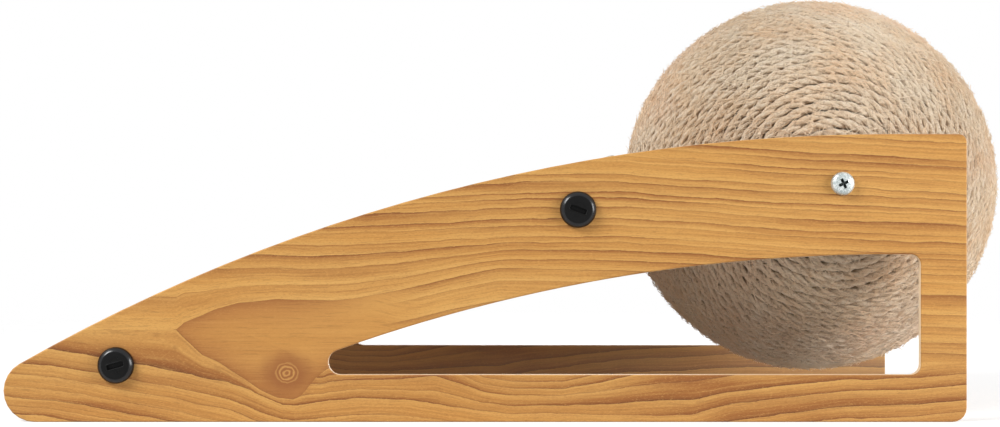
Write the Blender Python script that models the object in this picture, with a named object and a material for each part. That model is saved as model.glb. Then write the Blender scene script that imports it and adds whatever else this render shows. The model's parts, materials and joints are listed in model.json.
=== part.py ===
"""Cat scratching ramp: two bowed wooden side panels, a sloping mat and a rope ball that spins.

Metres, +Z up. The ramp climbs along +X to the ball, whose axle runs along Y.
The origin is under the middle of the whole object, on the floor.
Right is the side at -Y, and left the side at +Y.
"""
import math

import bmesh
import bpy
from mathutils import Matrix, Vector

# Side panels
FRAME_LENGTH = 0.480
TOE_RADIUS = 0.0155
CREST_SETBACK = 0.038
WOOD_ABOVE_AXLE = 0.0247
BAND_DEPTH = 0.060
BOTTOM_RAIL_HEIGHT = 0.0235
POST_WIDTH = 0.0230
WINDOW_TIP_RADIUS = 0.00625
WINDOW_CORNER_RADIUS = 0.005
REAR_TOP_RADIUS = 0.004
REAR_FOOT_RADIUS = 0.007
PANEL_THICKNESS = 0.006
PANEL_EDGE = 0.0006

# Ball, measured over the rope
BALL_RADIUS = 0.100
BALL_FLOOR_GAP = 0.0188
BALL_SIDE_GAP = 0.007
AXLE_SETBACK = 0.062
ROPE_DIAMETER = 0.0053
STRIP_LOOPS = 17
LOOP_POINTS = 24
TURNS_PER_STRIP = 3
STRIP_GAP = 0.0007
SHELL_WALL = 0.003
HUB_RADIUS = 0.011
HUB_LENGTH = 0.024
HUB_SINK = 0.0035
RIB_COUNT = 6
RIB_THICKNESS = 0.002
LIP_LENGTH = 0.004
BUSH_WALL = 0.0017
BUSH_LENGTH = 0.020
BUSH_FLANGE_RADIUS = 0.0098
BUSH_FLANGE_THICKNESS = 0.0015

# Axle
AXLE_RADIUS = 0.005
AXLE_CHAMFER = 0.0006
SPACER_WALL = 0.0027
AXLE_SCREW_RADIUS = 0.003
AXLE_SCREW_LENGTH = 0.018
AXLE_SCREW_HEAD_RADIUS = 0.00585
AXLE_SCREW_HEAD_HEIGHT = 0.0036
RECESS_LENGTH = 0.0046
RECESS_WIDTH = 0.0010
RECESS_DEPTH = 0.0020

# Cross rails, their inserts and the coin bolts
RAIL_SIZE = 0.020
RAIL_EDGE = 0.001
BOLT_DEPTH = 0.0234
LOWER_BOLT_FROM_TOE = 0.0562
UPPER_BOLT_FROM_BALL = 0.0317
BOLT_RADIUS = 0.004
BOLT_LENGTH = 0.022
BOLT_HEAD_RADIUS = 0.0091
BOLT_HEAD_HEIGHT = 0.0035
BOLT_HEAD_CHAMFER = 0.0021
SLOT_LENGTH = 0.0080
SLOT_WIDTH = 0.0016
SLOT_DEPTH = 0.0013
INSERT_WALL = 0.0020
INSERT_LENGTH = 0.018

# Ramp board and mat
BOARD_THICKNESS = 0.006
BOARD_LOWER_OVERHANG = 0.016
BOARD_BALL_GAP = 0.008
MAT_THICKNESS = 0.004
MAT_MARGIN = 0.0015
MAT_CORNER = 0.003
BOARD_SCREW_INSET = 0.047
BOARD_SCREW_RADIUS = 0.0019
BOARD_SCREW_LENGTH = 0.018
BOARD_SCREW_HEAD_RADIUS = 0.0038

CLEARANCE = 0.0003
CUT_PAST = 0.002
FINE_SEGMENTS = 24
COARSE_SEGMENTS = 16
SHELL_SEGMENTS = 36
SIDES = {"right": -1, "left": 1}
SLOT_ANGLES = {"lower": 15.6, "upper": -20.0}

# Worked out from the sizes above
AXLE_HEIGHT = BALL_RADIUS + BALL_FLOOR_GAP
FRAME_HEIGHT = AXLE_HEIGHT + WOOD_ABOVE_AXLE
TOTAL_LENGTH = FRAME_LENGTH + max(BALL_RADIUS - AXLE_SETBACK, 0.0)
TOE_X = -TOTAL_LENGTH / 2
REAR_X = TOE_X + FRAME_LENGTH
AXLE_X = REAR_X - AXLE_SETBACK
INNER_Y = BALL_RADIUS + BALL_SIDE_GAP
OUTER_Y = INNER_Y + PANEL_THICKNESS

# The panel's top edge is one arc, level at the crest and tangent to the round toe
CREST_X = REAR_X - CREST_SETBACK
_RUN = CREST_X - (TOE_X + TOE_RADIUS)
_RISE = FRAME_HEIGHT - TOE_RADIUS
ARC_RADIUS = (_RUN ** 2 + _RISE ** 2 - TOE_RADIUS ** 2) / (2 * (_RISE - TOE_RADIUS))
ARC_Z = FRAME_HEIGHT - ARC_RADIUS

# The bolts lie on an arc of the same centre, and the ramp lies on the rails that they hold
LOWER_BOLT_X = TOE_X + LOWER_BOLT_FROM_TOE
UPPER_BOLT_X = AXLE_X - BALL_RADIUS - UPPER_BOLT_FROM_BALL


def bolt_height(x):
    """Height of a bolt at x, on the arc that runs BOLT_DEPTH below the panel's top edge."""
    return ARC_Z + math.sqrt((ARC_RADIUS - BOLT_DEPTH) ** 2 - (x - CREST_X) ** 2)


LOWER_BOLT = Vector((LOWER_BOLT_X, 0, bolt_height(LOWER_BOLT_X)))
UPPER_BOLT = Vector((UPPER_BOLT_X, 0, bolt_height(UPPER_BOLT_X)))
BOLTS = {"lower": LOWER_BOLT, "upper": UPPER_BOLT}
ALONG_RAMP = (UPPER_BOLT - LOWER_BOLT).normalized()
OFF_RAMP = Vector((-ALONG_RAMP.z, 0, ALONG_RAMP.x))
RAMP_ANGLE = math.atan2(ALONG_RAMP.z, ALONG_RAMP.x)

# The rope is wound over the shells as one strip of three turns' width
STRIP_BASE = BALL_RADIUS - ROPE_DIAMETER
STRIP_START = math.asin((HUB_RADIUS + 2 * CLEARANCE) / STRIP_BASE)
STRIP_STEP = (math.pi - 2 * STRIP_START + STRIP_GAP / STRIP_BASE) / (STRIP_LOOPS + 1)
STRIP_WIDTH = STRIP_STEP - STRIP_GAP / STRIP_BASE
STRIP_FLOOR = STRIP_BASE * math.cos(math.pi / LOOP_POINTS) * math.cos(STRIP_WIDTH / 2)
SHELL_RADIUS = STRIP_FLOOR - CLEARANCE
HUB_FACE = BALL_RADIUS - HUB_SINK
BUSH_BORE = AXLE_RADIUS + CLEARANCE
BUSH_RADIUS = BUSH_BORE + BUSH_WALL
FLANGE_FACE = HUB_FACE + CLEARANCE + BUSH_FLANGE_THICKNESS


def clear_scene():
    """Remove what the scene starts with."""
    for item in list(bpy.data.objects):
        bpy.data.objects.remove(item, do_unlink=True)


def make_material(name, colour, roughness, metallic=0.0):
    """A Principled material."""
    material = bpy.data.materials.new(name)
    material.use_nodes = True
    shader = material.node_tree.nodes["Principled BSDF"]
    shader.inputs["Base Color"].default_value = (*colour, 1.0)
    shader.inputs["Roughness"].default_value = roughness
    shader.inputs["Metallic"].default_value = metallic
    return material


def add_object(name, data, material, location=(0, 0, 0), rotation=(0, 0, 0)):
    """Link a mesh or a curve into the scene as one named piece."""
    piece = bpy.data.objects.new(name, data)
    data.materials.append(material)
    piece.location = location
    piece.rotation_euler = rotation
    bpy.context.collection.objects.link(piece)
    return piece


def finish_mesh(name, bm, smooth_angle=35.0):
    """Turn a bmesh into a mesh with its faces pointing out and its round parts smooth."""
    bmesh.ops.recalc_face_normals(bm, faces=bm.faces)
    mesh = bpy.data.meshes.new(name)
    bm.to_mesh(mesh)
    bm.free()
    mesh.shade_smooth()
    mesh.set_sharp_from_angle(angle=math.radians(smooth_angle))
    return mesh


def turned(name, profile, segments):
    """Spin a closed profile of (radius, height) about local Z."""
    bm = bmesh.new()
    verts = [bm.verts.new((radius, 0, height)) for radius, height in profile]
    edges = [bm.edges.new((a, b)) for a, b in zip(verts, verts[1:] + verts[:1])]
    bmesh.ops.spin(bm, geom=verts + edges, cent=(0, 0, 0), axis=(0, 0, 1),
                   angle=2 * math.pi, steps=segments)
    bmesh.ops.remove_doubles(bm, verts=bm.verts, dist=1e-6)
    bmesh.ops.dissolve_degenerate(bm, edges=bm.edges, dist=1e-7)
    loose = [edge for edge in bm.edges if not edge.link_faces]
    bmesh.ops.delete(bm, geom=loose, context="EDGES")
    return finish_mesh(name, bm)


def box(name, size, edge=0.0):
    """A block about the origin, with its long edges softened."""
    bm = bmesh.new()
    bmesh.ops.create_cube(bm, size=1.0)
    bmesh.ops.scale(bm, vec=size, verts=bm.verts)
    if edge:
        longest = max(range(3), key=lambda axis: size[axis])
        long_edges = [e for e in bm.edges
                      if abs((e.verts[0].co - e.verts[1].co)[longest]) > 0.9 * size[longest]]
        bmesh.ops.bevel(bm, geom=long_edges, offset=edge, segments=2, profile=0.5,
                        affect="EDGES")
    return finish_mesh(name, bm)


def arc(centre, radius, start, end, steps):
    """Points on an arc, both ends included; angles in degrees."""
    angles = [math.radians(start + (end - start) * i / steps) for i in range(steps + 1)]
    return [(centre[0] + radius * math.cos(a), centre[1] + radius * math.sin(a)) for a in angles]


def circle(centre, radius, steps):
    """Points of a closed circle."""
    return arc(centre, radius, 0, 360, steps)[:-1]


def bowed_outline(rear, base, arc_radius, tip_radius, foot_radius, corner_radius):
    """A long shape with a level base, an upright rear and an arc that falls to a round tip."""
    tip_z = base + tip_radius
    tip_x = CREST_X - math.sqrt((arc_radius - tip_radius) ** 2 - (tip_z - ARC_Z) ** 2)
    top = ARC_Z + arc_radius
    tangent = math.degrees(math.atan2(tip_z - ARC_Z, tip_x - CREST_X))
    foot = arc((rear - foot_radius, base + foot_radius), foot_radius, -90, 0, 5)
    corner = arc((rear - corner_radius, top - corner_radius), corner_radius, 0, 90, 5)
    bow = arc((CREST_X, ARC_Z), arc_radius, 90, tangent, 24)
    tip = arc((tip_x, tip_z), tip_radius, tangent, 270, 10)
    return foot + corner + bow + tip[1:]


def side_panel(name, side, material):
    """A flat panel with its window, bolt holes and axle hole."""
    outlines = [
        bowed_outline(REAR_X, 0.0, ARC_RADIUS, TOE_RADIUS, REAR_FOOT_RADIUS, REAR_TOP_RADIUS),
        bowed_outline(REAR_X - POST_WIDTH, BOTTOM_RAIL_HEIGHT, ARC_RADIUS - BAND_DEPTH,
                      WINDOW_TIP_RADIUS, WINDOW_CORNER_RADIUS, WINDOW_CORNER_RADIUS),
        circle((AXLE_X, AXLE_HEIGHT), AXLE_SCREW_RADIUS + CLEARANCE, COARSE_SEGMENTS),
    ]
    for bolt in BOLTS.values():
        outlines.append(circle((bolt.x, bolt.z), BOLT_RADIUS + CLEARANCE, COARSE_SEGMENTS))
    curve = bpy.data.curves.new(name, "CURVE")
    curve.dimensions = "2D"
    curve.fill_mode = "BOTH"
    curve.extrude = PANEL_THICKNESS / 2 - PANEL_EDGE
    curve.bevel_depth = PANEL_EDGE
    curve.bevel_resolution = 0
    curve.offset = -PANEL_EDGE
    curve.resolution_u = 1
    curve.render_resolution_u = 0
    for outline in outlines:
        spline = curve.splines.new("POLY")
        spline.points.add(len(outline) - 1)
        for point, (x, z) in zip(spline.points, outline):
            point.co = (x, z, 0, 1)
        spline.use_cyclic_u = True
    middle = side * (INNER_Y + PANEL_THICKNESS / 2)
    return add_object(name, curve, material, (0, middle, 0), (math.pi / 2, 0, 0))


def cut(piece, cutter_mesh, location, rotation=(0, 0, 0)):
    """Take a shape out of a piece with an exact Boolean."""
    cutter = bpy.data.objects.new(f"{piece.name}_cutter", cutter_mesh)
    cutter.location = location
    cutter.rotation_euler = rotation
    cutter.hide_render = True
    cutter.display_type = "WIRE"
    bpy.context.collection.objects.link(cutter)
    modifier = piece.modifiers.new("cut", "BOOLEAN")
    modifier.operation = "DIFFERENCE"
    modifier.object = cutter


def outward(side):
    """Rotation that turns local +Z to the outside of the given side."""
    return (-side * math.pi / 2, 0, 0)


def cylinder_profile(radius, low, high, chamfer=0.0):
    """Profile of a solid cylinder from low to high."""
    if not chamfer:
        return [(0, low), (radius, low), (radius, high), (0, high)]
    return [(0, low), (radius - chamfer, low), (radius, low + chamfer),
            (radius, high - chamfer), (radius - chamfer, high), (0, high)]


def cross_rail(name, bolt, material):
    """A square rail between the panels, bored at each end for its insert and on top for screws."""
    length = 2 * (INNER_Y - CLEARANCE)
    rail = add_object(name, box(name, (RAIL_SIZE, length, RAIL_SIZE), RAIL_EDGE), material,
                      bolt, (0, -RAMP_ANGLE, 0))
    bore_radius = BOLT_RADIUS + CLEARANCE + INSERT_WALL + CLEARANCE
    bore_profile = cylinder_profile(bore_radius, -INSERT_LENGTH - 2 * CLEARANCE, CUT_PAST)
    bore = turned("insert_bore", bore_profile, COARSE_SEGMENTS)
    depth = BOARD_SCREW_LENGTH - BOARD_THICKNESS + CUT_PAST
    pilot_profile = cylinder_profile(BOARD_SCREW_RADIUS + CLEARANCE, -depth, CUT_PAST)
    pilot = turned("pilot_bore", pilot_profile, COARSE_SEGMENTS)
    for side in SIDES.values():
        cut(rail, bore, bolt + Vector((0, side * (INNER_Y - CLEARANCE), 0)), outward(side))
        top = bolt + OFF_RAMP * (RAIL_SIZE / 2) + Vector((0, side * board_screw_y(), 0))
        cut(rail, pilot, top, (0, -RAMP_ANGLE, 0))
    return rail


def rail_insert(name, bolt, side, material):
    """A threaded insert in the end of a rail: a barrel with three ribs that grip the wood."""
    bore = BOLT_RADIUS + CLEARANCE
    full = bore + INSERT_WALL
    waist = full - INSERT_WALL / 4
    ribs = 3
    pitch = INSERT_LENGTH / (2 * ribs - 1)
    outer = []
    for i in range(2 * ribs - 1):
        radius = full if i % 2 == 0 else waist
        outer.append((radius, -INSERT_LENGTH + i * pitch))
        outer.append((radius, -INSERT_LENGTH + (i + 1) * pitch))
    profile = [(bore, 0), (bore, -INSERT_LENGTH)] + outer
    place = bolt + Vector((0, side * (INNER_Y - CLEARANCE), 0))
    return add_object(name, turned(name, profile, COARSE_SEGMENTS), material, place, outward(side))


def coin_bolt(name, bolt, side, slot_angle, material):
    """A bolt with a low round head and a wide slot for a coin."""
    head = BOLT_HEAD_RADIUS
    flat = head - BOLT_HEAD_CHAMFER
    rim = BOLT_HEAD_HEIGHT / 2
    tip = BOLT_RADIUS / 4
    profile = [
        (0, -BOLT_LENGTH), (BOLT_RADIUS - tip, -BOLT_LENGTH), (BOLT_RADIUS, -BOLT_LENGTH + tip),
        (BOLT_RADIUS, 0), (head, 0), (head, rim), (flat, BOLT_HEAD_HEIGHT), (0, BOLT_HEAD_HEIGHT),
    ]
    place = bolt + Vector((0, side * (OUTER_Y + CLEARANCE), 0))
    piece = add_object(name, turned(name, profile, FINE_SEGMENTS), material, place, outward(side))
    slot = box("coin_slot", (SLOT_LENGTH, SLOT_WIDTH, 2 * SLOT_DEPTH))
    slot.transform(rotation_about_z(slot_angle))
    cut(piece, slot, place + Vector((0, side * BOLT_HEAD_HEIGHT, 0)), outward(side))
    return piece


def rotation_about_z(degrees):
    """A turn about local Z."""
    return Matrix.Rotation(math.radians(degrees), 4, "Z")


def board_screw_y():
    """Distance of the board screws from the middle of the ramp."""
    return INNER_Y - BOARD_SCREW_INSET


def board_upper_end():
    """Distance along the ramp, from the lower bolt, to where the board stops short of the ball."""
    to_ball = Vector((AXLE_X, 0, AXLE_HEIGHT)) - LOWER_BOLT
    reach = BALL_RADIUS + BOARD_BALL_GAP
    ends = []
    for height in (RAIL_SIZE / 2 + CLEARANCE, RAIL_SIZE / 2 + board_stack()):
        offset = to_ball.dot(OFF_RAMP) - height
        ends.append(to_ball.dot(ALONG_RAMP) - math.sqrt(reach ** 2 - offset ** 2))
    return min(ends)


def board_stack():
    """Height of board and mat above the rails."""
    return BOARD_THICKNESS + MAT_THICKNESS + 2 * CLEARANCE


def ramp_place(distance, height):
    """A point on the ramp's middle line, by its distance from the lower bolt and its height."""
    return LOWER_BOLT + ALONG_RAMP * distance + OFF_RAMP * height


def ramp_board(material):
    """The flat board on the two rails, with countersunk holes."""
    upper = board_upper_end()
    length = upper + BOARD_LOWER_OVERHANG
    width = 2 * (INNER_Y - CLEARANCE)
    height = RAIL_SIZE / 2 + CLEARANCE + BOARD_THICKNESS / 2
    middle = ramp_place(upper - length / 2, height)
    board = add_object("ramp_board", box("ramp_board", (length, width, BOARD_THICKNESS)), material,
                       middle, (0, -RAMP_ANGLE, 0))
    shank = BOARD_SCREW_RADIUS + CLEARANCE
    head = BOARD_SCREW_HEAD_RADIUS + CLEARANCE
    rim = -2 * CLEARANCE
    profile = [(0, -BOARD_THICKNESS - CUT_PAST), (shank, -BOARD_THICKNESS - CUT_PAST),
               (shank, rim - head + shank), (head, rim), (head, CUT_PAST), (0, CUT_PAST)]
    sink = turned("countersink", profile, COARSE_SEGMENTS)
    for distance in (0.0, (UPPER_BOLT - LOWER_BOLT).length):
        for side in SIDES.values():
            top = ramp_place(distance, height + BOARD_THICKNESS / 2)
            cut(board, sink, top + Vector((0, side * board_screw_y(), 0)), (0, -RAMP_ANGLE, 0))
    return board


def board_screw(name, bolt, side, material):
    """A countersunk wood screw, flush with the board's top."""
    head, shank = BOARD_SCREW_HEAD_RADIUS, BOARD_SCREW_RADIUS
    tip = -BOARD_SCREW_LENGTH
    rim = -CLEARANCE
    profile = [(0, tip), (shank, tip + 2 * shank), (shank, rim - head + shank),
               (head, rim), (head, 0), (0, 0)]
    height = RAIL_SIZE / 2 + BOARD_THICKNESS
    place = bolt + OFF_RAMP * height + Vector((0, side * board_screw_y(), 0))
    return add_object(name, turned(name, profile, COARSE_SEGMENTS), material, place,
                      (0, -RAMP_ANGLE, 0))


def scratch_mat(material):
    """The woven mat glued to the board, a little smaller than it, with round corners."""
    upper = board_upper_end() - MAT_MARGIN
    lower = -BOARD_LOWER_OVERHANG + MAT_MARGIN
    half = INNER_Y - CLEARANCE - MAT_MARGIN
    size = (upper - lower, 2 * half, MAT_THICKNESS)
    bm = bmesh.new()
    bmesh.ops.create_cube(bm, size=1.0)
    bmesh.ops.scale(bm, vec=size, verts=bm.verts)
    upright = [e for e in bm.edges if abs((e.verts[0].co - e.verts[1].co).z) > MAT_THICKNESS / 2]
    bmesh.ops.bevel(bm, geom=upright, offset=MAT_CORNER, segments=3, profile=0.5, affect="EDGES")
    height = RAIL_SIZE / 2 + BOARD_THICKNESS + 2 * CLEARANCE + MAT_THICKNESS / 2
    return add_object("scratch_mat", finish_mesh("scratch_mat", bm), material,
                      ramp_place((upper + lower) / 2, height), (0, -RAMP_ANGLE, 0))


def axle_rod(material):
    """The rod between the panels, tapped at both ends for the axle screws."""
    half = INNER_Y - CLEARANCE
    bore = AXLE_SCREW_RADIUS + CLEARANCE
    depth = half - (AXLE_SCREW_LENGTH - PANEL_THICKNESS) - CUT_PAST
    outer = AXLE_RADIUS
    edge = outer - AXLE_CHAMFER
    profile = [(0, -depth), (bore, -depth), (bore, -half), (edge, -half),
               (outer, -half + AXLE_CHAMFER), (outer, half - AXLE_CHAMFER), (edge, half),
               (bore, half), (bore, depth), (0, depth)]
    return add_object("axle_rod", turned("axle_rod", profile, FINE_SEGMENTS), material,
                      (AXLE_X, 0, AXLE_HEIGHT), outward(1))


def axle_screw(name, side, material):
    """A pan-head screw with a cross recess, through the panel into the axle rod."""
    head, top = AXLE_SCREW_HEAD_RADIUS, AXLE_SCREW_HEAD_HEIGHT
    shank = AXLE_SCREW_RADIUS
    crown = [(head * math.cos(a), top / 3 + top * 2 / 3 * math.sin(a))
             for a in (math.radians(15 * i) for i in range(6))]
    profile = ([(0, -AXLE_SCREW_LENGTH), (shank, -AXLE_SCREW_LENGTH), (shank, 0), (head, 0)]
               + crown + [(0, top)])
    place = Vector((AXLE_X, side * (OUTER_Y + CLEARANCE), AXLE_HEIGHT))
    screw = add_object(name, turned(name, profile, FINE_SEGMENTS), material, place, outward(side))
    for angle in (25, 115):
        bar = box("cross_bar", (RECESS_LENGTH, RECESS_WIDTH, 2 * RECESS_DEPTH))
        bar.transform(rotation_about_z(angle))
        cut(screw, bar, place + Vector((0, side * top, 0)), outward(side))
    return screw


def axle_spacer(name, side, material):
    """A sleeve on the rod that keeps the ball off the panel."""
    bore = AXLE_RADIUS + CLEARANCE
    outer = bore + SPACER_WALL
    low = FLANGE_FACE + CLEARANCE
    high = INNER_Y - CLEARANCE
    profile = [(bore, low), (outer, low), (outer, high), (bore, high)]
    return add_object(name, turned(name, profile, FINE_SEGMENTS), material,
                      (AXLE_X, 0, AXLE_HEIGHT), outward(side))


def hub_bush(name, side, pivot, material):
    """A flanged sleeve pressed into the hub, which runs on the rod."""
    low = FLANGE_FACE - BUSH_FLANGE_THICKNESS
    profile = [(BUSH_BORE, low - BUSH_LENGTH), (BUSH_RADIUS, low - BUSH_LENGTH), (BUSH_RADIUS, low),
               (BUSH_FLANGE_RADIUS, low), (BUSH_FLANGE_RADIUS, FLANGE_FACE),
               (BUSH_BORE, FLANGE_FACE)]
    bush = add_object(name, turned(name, profile, FINE_SEGMENTS), material,
                      (0, 0, 0), outward(side))
    bush.parent = pivot
    return bush


def shell_profile(has_lip):
    """Profile of a half shell with its hub; the equator is at height 0 and the hub at the top."""
    inner = SHELL_RADIUS - SHELL_WALL
    split = CLEARANCE / 2
    step = SHELL_RADIUS - SHELL_WALL / 2
    bore = BUSH_RADIUS + CLEARANCE

    def on_sphere(radius, angles):
        return [(radius * math.cos(a), radius * math.sin(a)) for a in angles]

    hub_angle = math.acos(HUB_RADIUS / SHELL_RADIUS)
    outside = on_sphere(SHELL_RADIUS, [hub_angle * i / 9 for i in range(10)])
    outside[0] = (outside[0][0], split)
    hub_inside = math.acos(HUB_RADIUS / inner)
    inside = on_sphere(inner, [hub_inside * i / 7 for i in range(7, 0, -1)])
    hub = [(HUB_RADIUS, HUB_FACE), (bore, HUB_FACE), (bore, HUB_FACE - HUB_LENGTH),
           (HUB_RADIUS, HUB_FACE - HUB_LENGTH)]
    if has_lip:
        seat = step - CLEARANCE / 2
        rim = [(inner, -LIP_LENGTH), (seat, -LIP_LENGTH), (seat, split)]
    else:
        seat = step + CLEARANCE / 2
        depth = LIP_LENGTH + CLEARANCE
        rim = [(math.sqrt(inner ** 2 - depth ** 2), depth), (seat, depth), (seat, split)]
    return outside + hub + inside + rim


def shell_ribs():
    """Gussets between the hub and the shell's inside, all in one mesh."""
    wall = SHELL_RADIUS - SHELL_WALL / 2
    floor = HUB_FACE - HUB_LENGTH
    root = HUB_RADIUS - CLEARANCE * 2
    start = math.asin(floor / wall)
    end = math.acos(root / wall)
    rim = [(wall * math.cos(a), wall * math.sin(a))
           for a in (start + (end - start) * i / 6 for i in range(7))]
    bm = bmesh.new()
    for i in range(RIB_COUNT):
        turn = rotation_about_z(360 * i / RIB_COUNT)
        verts = [bm.verts.new(turn @ Vector((r, -RIB_THICKNESS / 2, z)))
                 for r, z in [(root, floor)] + rim]
        face = bm.faces.new(verts)
        extruded = bmesh.ops.extrude_face_region(bm, geom=[face])["geom"]
        moved = [v for v in extruded if isinstance(v, bmesh.types.BMVert)]
        bmesh.ops.translate(bm, vec=turn @ Vector((0, RIB_THICKNESS, 0)), verts=moved)
    return finish_mesh("shell_ribs", bm)


def ball_shell(name, side, has_lip, pivot, material):
    """A hollow moulded half ball with its hub and ribs."""
    shell = add_object(name, turned(name, shell_profile(has_lip), SHELL_SEGMENTS), material,
                       (0, 0, 0), outward(side))
    shell.parent = pivot
    ribs = bpy.data.objects.new(f"{name}_ribs", shell_ribs())
    ribs.parent = pivot
    ribs.rotation_euler = outward(side)
    ribs.hide_render = True
    ribs.display_type = "WIRE"
    bpy.context.collection.objects.link(ribs)
    union = shell.modifiers.new("ribs", "BOOLEAN")
    union.operation = "UNION"
    union.object = ribs
    return shell


def strip_section():
    """Section of the wound strip as (angle across, radius): a flat base under three round turns."""
    turn = STRIP_WIDTH / TURNS_PER_STRIP
    valley = BALL_RADIUS - ROPE_DIAMETER / 3
    section = [(-STRIP_WIDTH / 2, STRIP_BASE)]
    for i in range(TURNS_PER_STRIP):
        middle = -STRIP_WIDTH / 2 + turn * (i + 0.5)
        section.append((middle, BALL_RADIUS))
        if i < TURNS_PER_STRIP - 1:
            section.append((middle + turn / 2, valley))
    section.append((STRIP_WIDTH / 2, STRIP_BASE))
    return section


def rope_winding(pivot, material):
    """The rope, wound from hub to hub over both shells as one unbroken strip."""
    section = strip_section()
    first = STRIP_START + STRIP_WIDTH / 2
    bm = bmesh.new()
    rings = []
    for i in range(STRIP_LOOPS * LOOP_POINTS + 1):
        turns = i / LOOP_POINTS
        around = 2 * math.pi * turns
        polar = first + STRIP_STEP * turns
        ring = []
        for across, radius in section:
            from_axis = radius * math.sin(polar + across)
            ring.append(bm.verts.new((from_axis * math.cos(around), from_axis * math.sin(around),
                                      radius * math.cos(polar + across))))
        rings.append(ring)
    sides = len(section)
    for ring, following in zip(rings, rings[1:]):
        for j in range(sides):
            k = (j + 1) % sides
            bm.faces.new((ring[j], ring[k], following[k], following[j]))
    bm.faces.new(rings[0])
    bm.faces.new(rings[-1])
    gap = min((a.co - b.co).length
              for ring, outer in zip(rings, rings[LOOP_POINTS:]) for a in ring for b in outer)
    print(f"rope winding: least gap to itself {gap * 1000:.2f} mm")
    winding = add_object("rope_winding", finish_mesh("rope_winding", bm, 80.0), material,
                         (0, 0, 0), outward(-1))
    winding.parent = pivot
    return winding


def build():
    """Make every piece."""
    clear_scene()
    wood = make_material("oiled_wood", (0.72, 0.42, 0.18), 0.5)
    plastic = make_material("black_plastic", (0.02, 0.02, 0.02), 0.35)
    zinc = make_material("zinc_plated_steel", (0.75, 0.77, 0.80), 0.3, 1.0)
    shell_plastic = make_material("shell_plastic", (0.60, 0.58, 0.52), 0.5)
    nylon = make_material("nylon", (0.85, 0.85, 0.82), 0.4)
    jute = make_material("jute_rope", (0.72, 0.55, 0.37), 0.9)
    sisal = make_material("sisal_mat", (0.74, 0.62, 0.42), 0.9)

    ramp_board(wood)
    scratch_mat(sisal)
    axle_rod(zinc)
    for level, bolt in BOLTS.items():
        cross_rail(f"{level}_cross_rail", bolt, wood)
    for side_name, side in SIDES.items():
        side_panel(f"side_panel_{side_name}", side, wood)
        axle_screw(f"axle_screw_{side_name}", side, zinc)
        axle_spacer(f"axle_spacer_{side_name}", side, nylon)
        for level, bolt in BOLTS.items():
            place = f"{level}_{side_name}"
            coin_bolt(f"coin_bolt_{place}", bolt, side, SLOT_ANGLES[level], plastic)
            rail_insert(f"rail_insert_{place}", bolt, side, zinc)
            board_screw(f"board_screw_{place}", bolt, side, zinc)

    pivot = bpy.data.objects.new("ball_pivot", None)
    pivot.location = (AXLE_X, 0, AXLE_HEIGHT)
    bpy.context.collection.objects.link(pivot)
    for side_name, side in SIDES.items():
        ball_shell(f"ball_shell_{side_name}", side, side_name == "right", pivot, shell_plastic)
        hub_bush(f"hub_bush_{side_name}", side, pivot, nylon)
    rope_winding(pivot, jute)


build()
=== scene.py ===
# %% [markdown]
# A cat scratching ramp, dressed. Two bowed wooden panels stand on edge, a board with a woven mat
# slopes up between them, and a ball wound with jute rope spins at the high end. The solids come
# from the CAD model and stay where they are. This lesson gives them their grain, rope, weave and
# plating, and swaps the plain rope and mat for modelled ones.

# %% Load the frame
import json
import math

import bmesh
import bpy
import numpy as np
from mathutils import Matrix, Vector


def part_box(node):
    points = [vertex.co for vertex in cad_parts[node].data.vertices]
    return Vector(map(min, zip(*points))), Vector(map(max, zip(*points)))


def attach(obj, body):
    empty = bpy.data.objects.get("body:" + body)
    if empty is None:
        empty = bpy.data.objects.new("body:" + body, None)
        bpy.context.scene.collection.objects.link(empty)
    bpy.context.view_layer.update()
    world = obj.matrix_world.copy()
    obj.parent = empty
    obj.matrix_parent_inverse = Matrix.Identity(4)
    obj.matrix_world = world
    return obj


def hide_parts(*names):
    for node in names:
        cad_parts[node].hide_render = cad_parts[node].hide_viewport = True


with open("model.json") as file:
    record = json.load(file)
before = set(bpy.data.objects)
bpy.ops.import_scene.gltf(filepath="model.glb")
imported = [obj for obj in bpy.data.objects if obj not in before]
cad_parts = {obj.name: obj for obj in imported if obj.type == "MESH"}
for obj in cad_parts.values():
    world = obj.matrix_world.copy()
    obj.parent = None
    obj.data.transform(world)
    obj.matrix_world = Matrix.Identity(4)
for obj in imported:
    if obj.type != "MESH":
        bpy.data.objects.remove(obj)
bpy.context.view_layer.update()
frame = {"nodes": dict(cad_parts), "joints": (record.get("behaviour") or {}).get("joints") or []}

# %% [markdown]
# Everything below is placed by the frame, so the sizes that the real object has are read from it
# once. The ball's centre is the hinge's place. A bolt head sits where its node sits, and the
# panels' boxes give the outer faces.

# %% Read the places that the CAD gives
TOE, PANEL_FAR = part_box("side_panel_right")
OUTER_FACE = -TOE.y
INNER_FACE = -PANEL_FAR.y
BALL_CENTRE = Vector(frame["joints"][0]["pos_m"])
ROPE_LOW, ROPE_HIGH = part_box("rope_winding")
BALL_RADIUS = (ROPE_HIGH.z - ROPE_LOW.z) / 2
print("ball centre", tuple(BALL_CENTRE), "radius", BALL_RADIUS)

# %% [markdown]
# The photograph was taken almost straight at the side panel, from a little over a metre, with the
# lens at about half the object's height. The camera looks along +Y. A small shift does what cropping
# the picture did, because the lens wasn't aimed at the middle of the frame. Three measures of the
# photograph settle it: the pixel that the lens points at, the toe's column and the floor's row.

# %% Place the camera
IMAGE_WIDTH = 1000
IMAGE_HEIGHT = 427
METRES_PER_PIXEL = 0.000498
DISTANCE = 1.084
LENS_PIXELS = DISTANCE / METRES_PER_PIXEL
AIM_PIXEL = (482.0, 199.5)
TOE_PIXEL = 3.2
FLOOR_PIXEL = 422.1
SENSOR_WIDTH = 36.0

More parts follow.
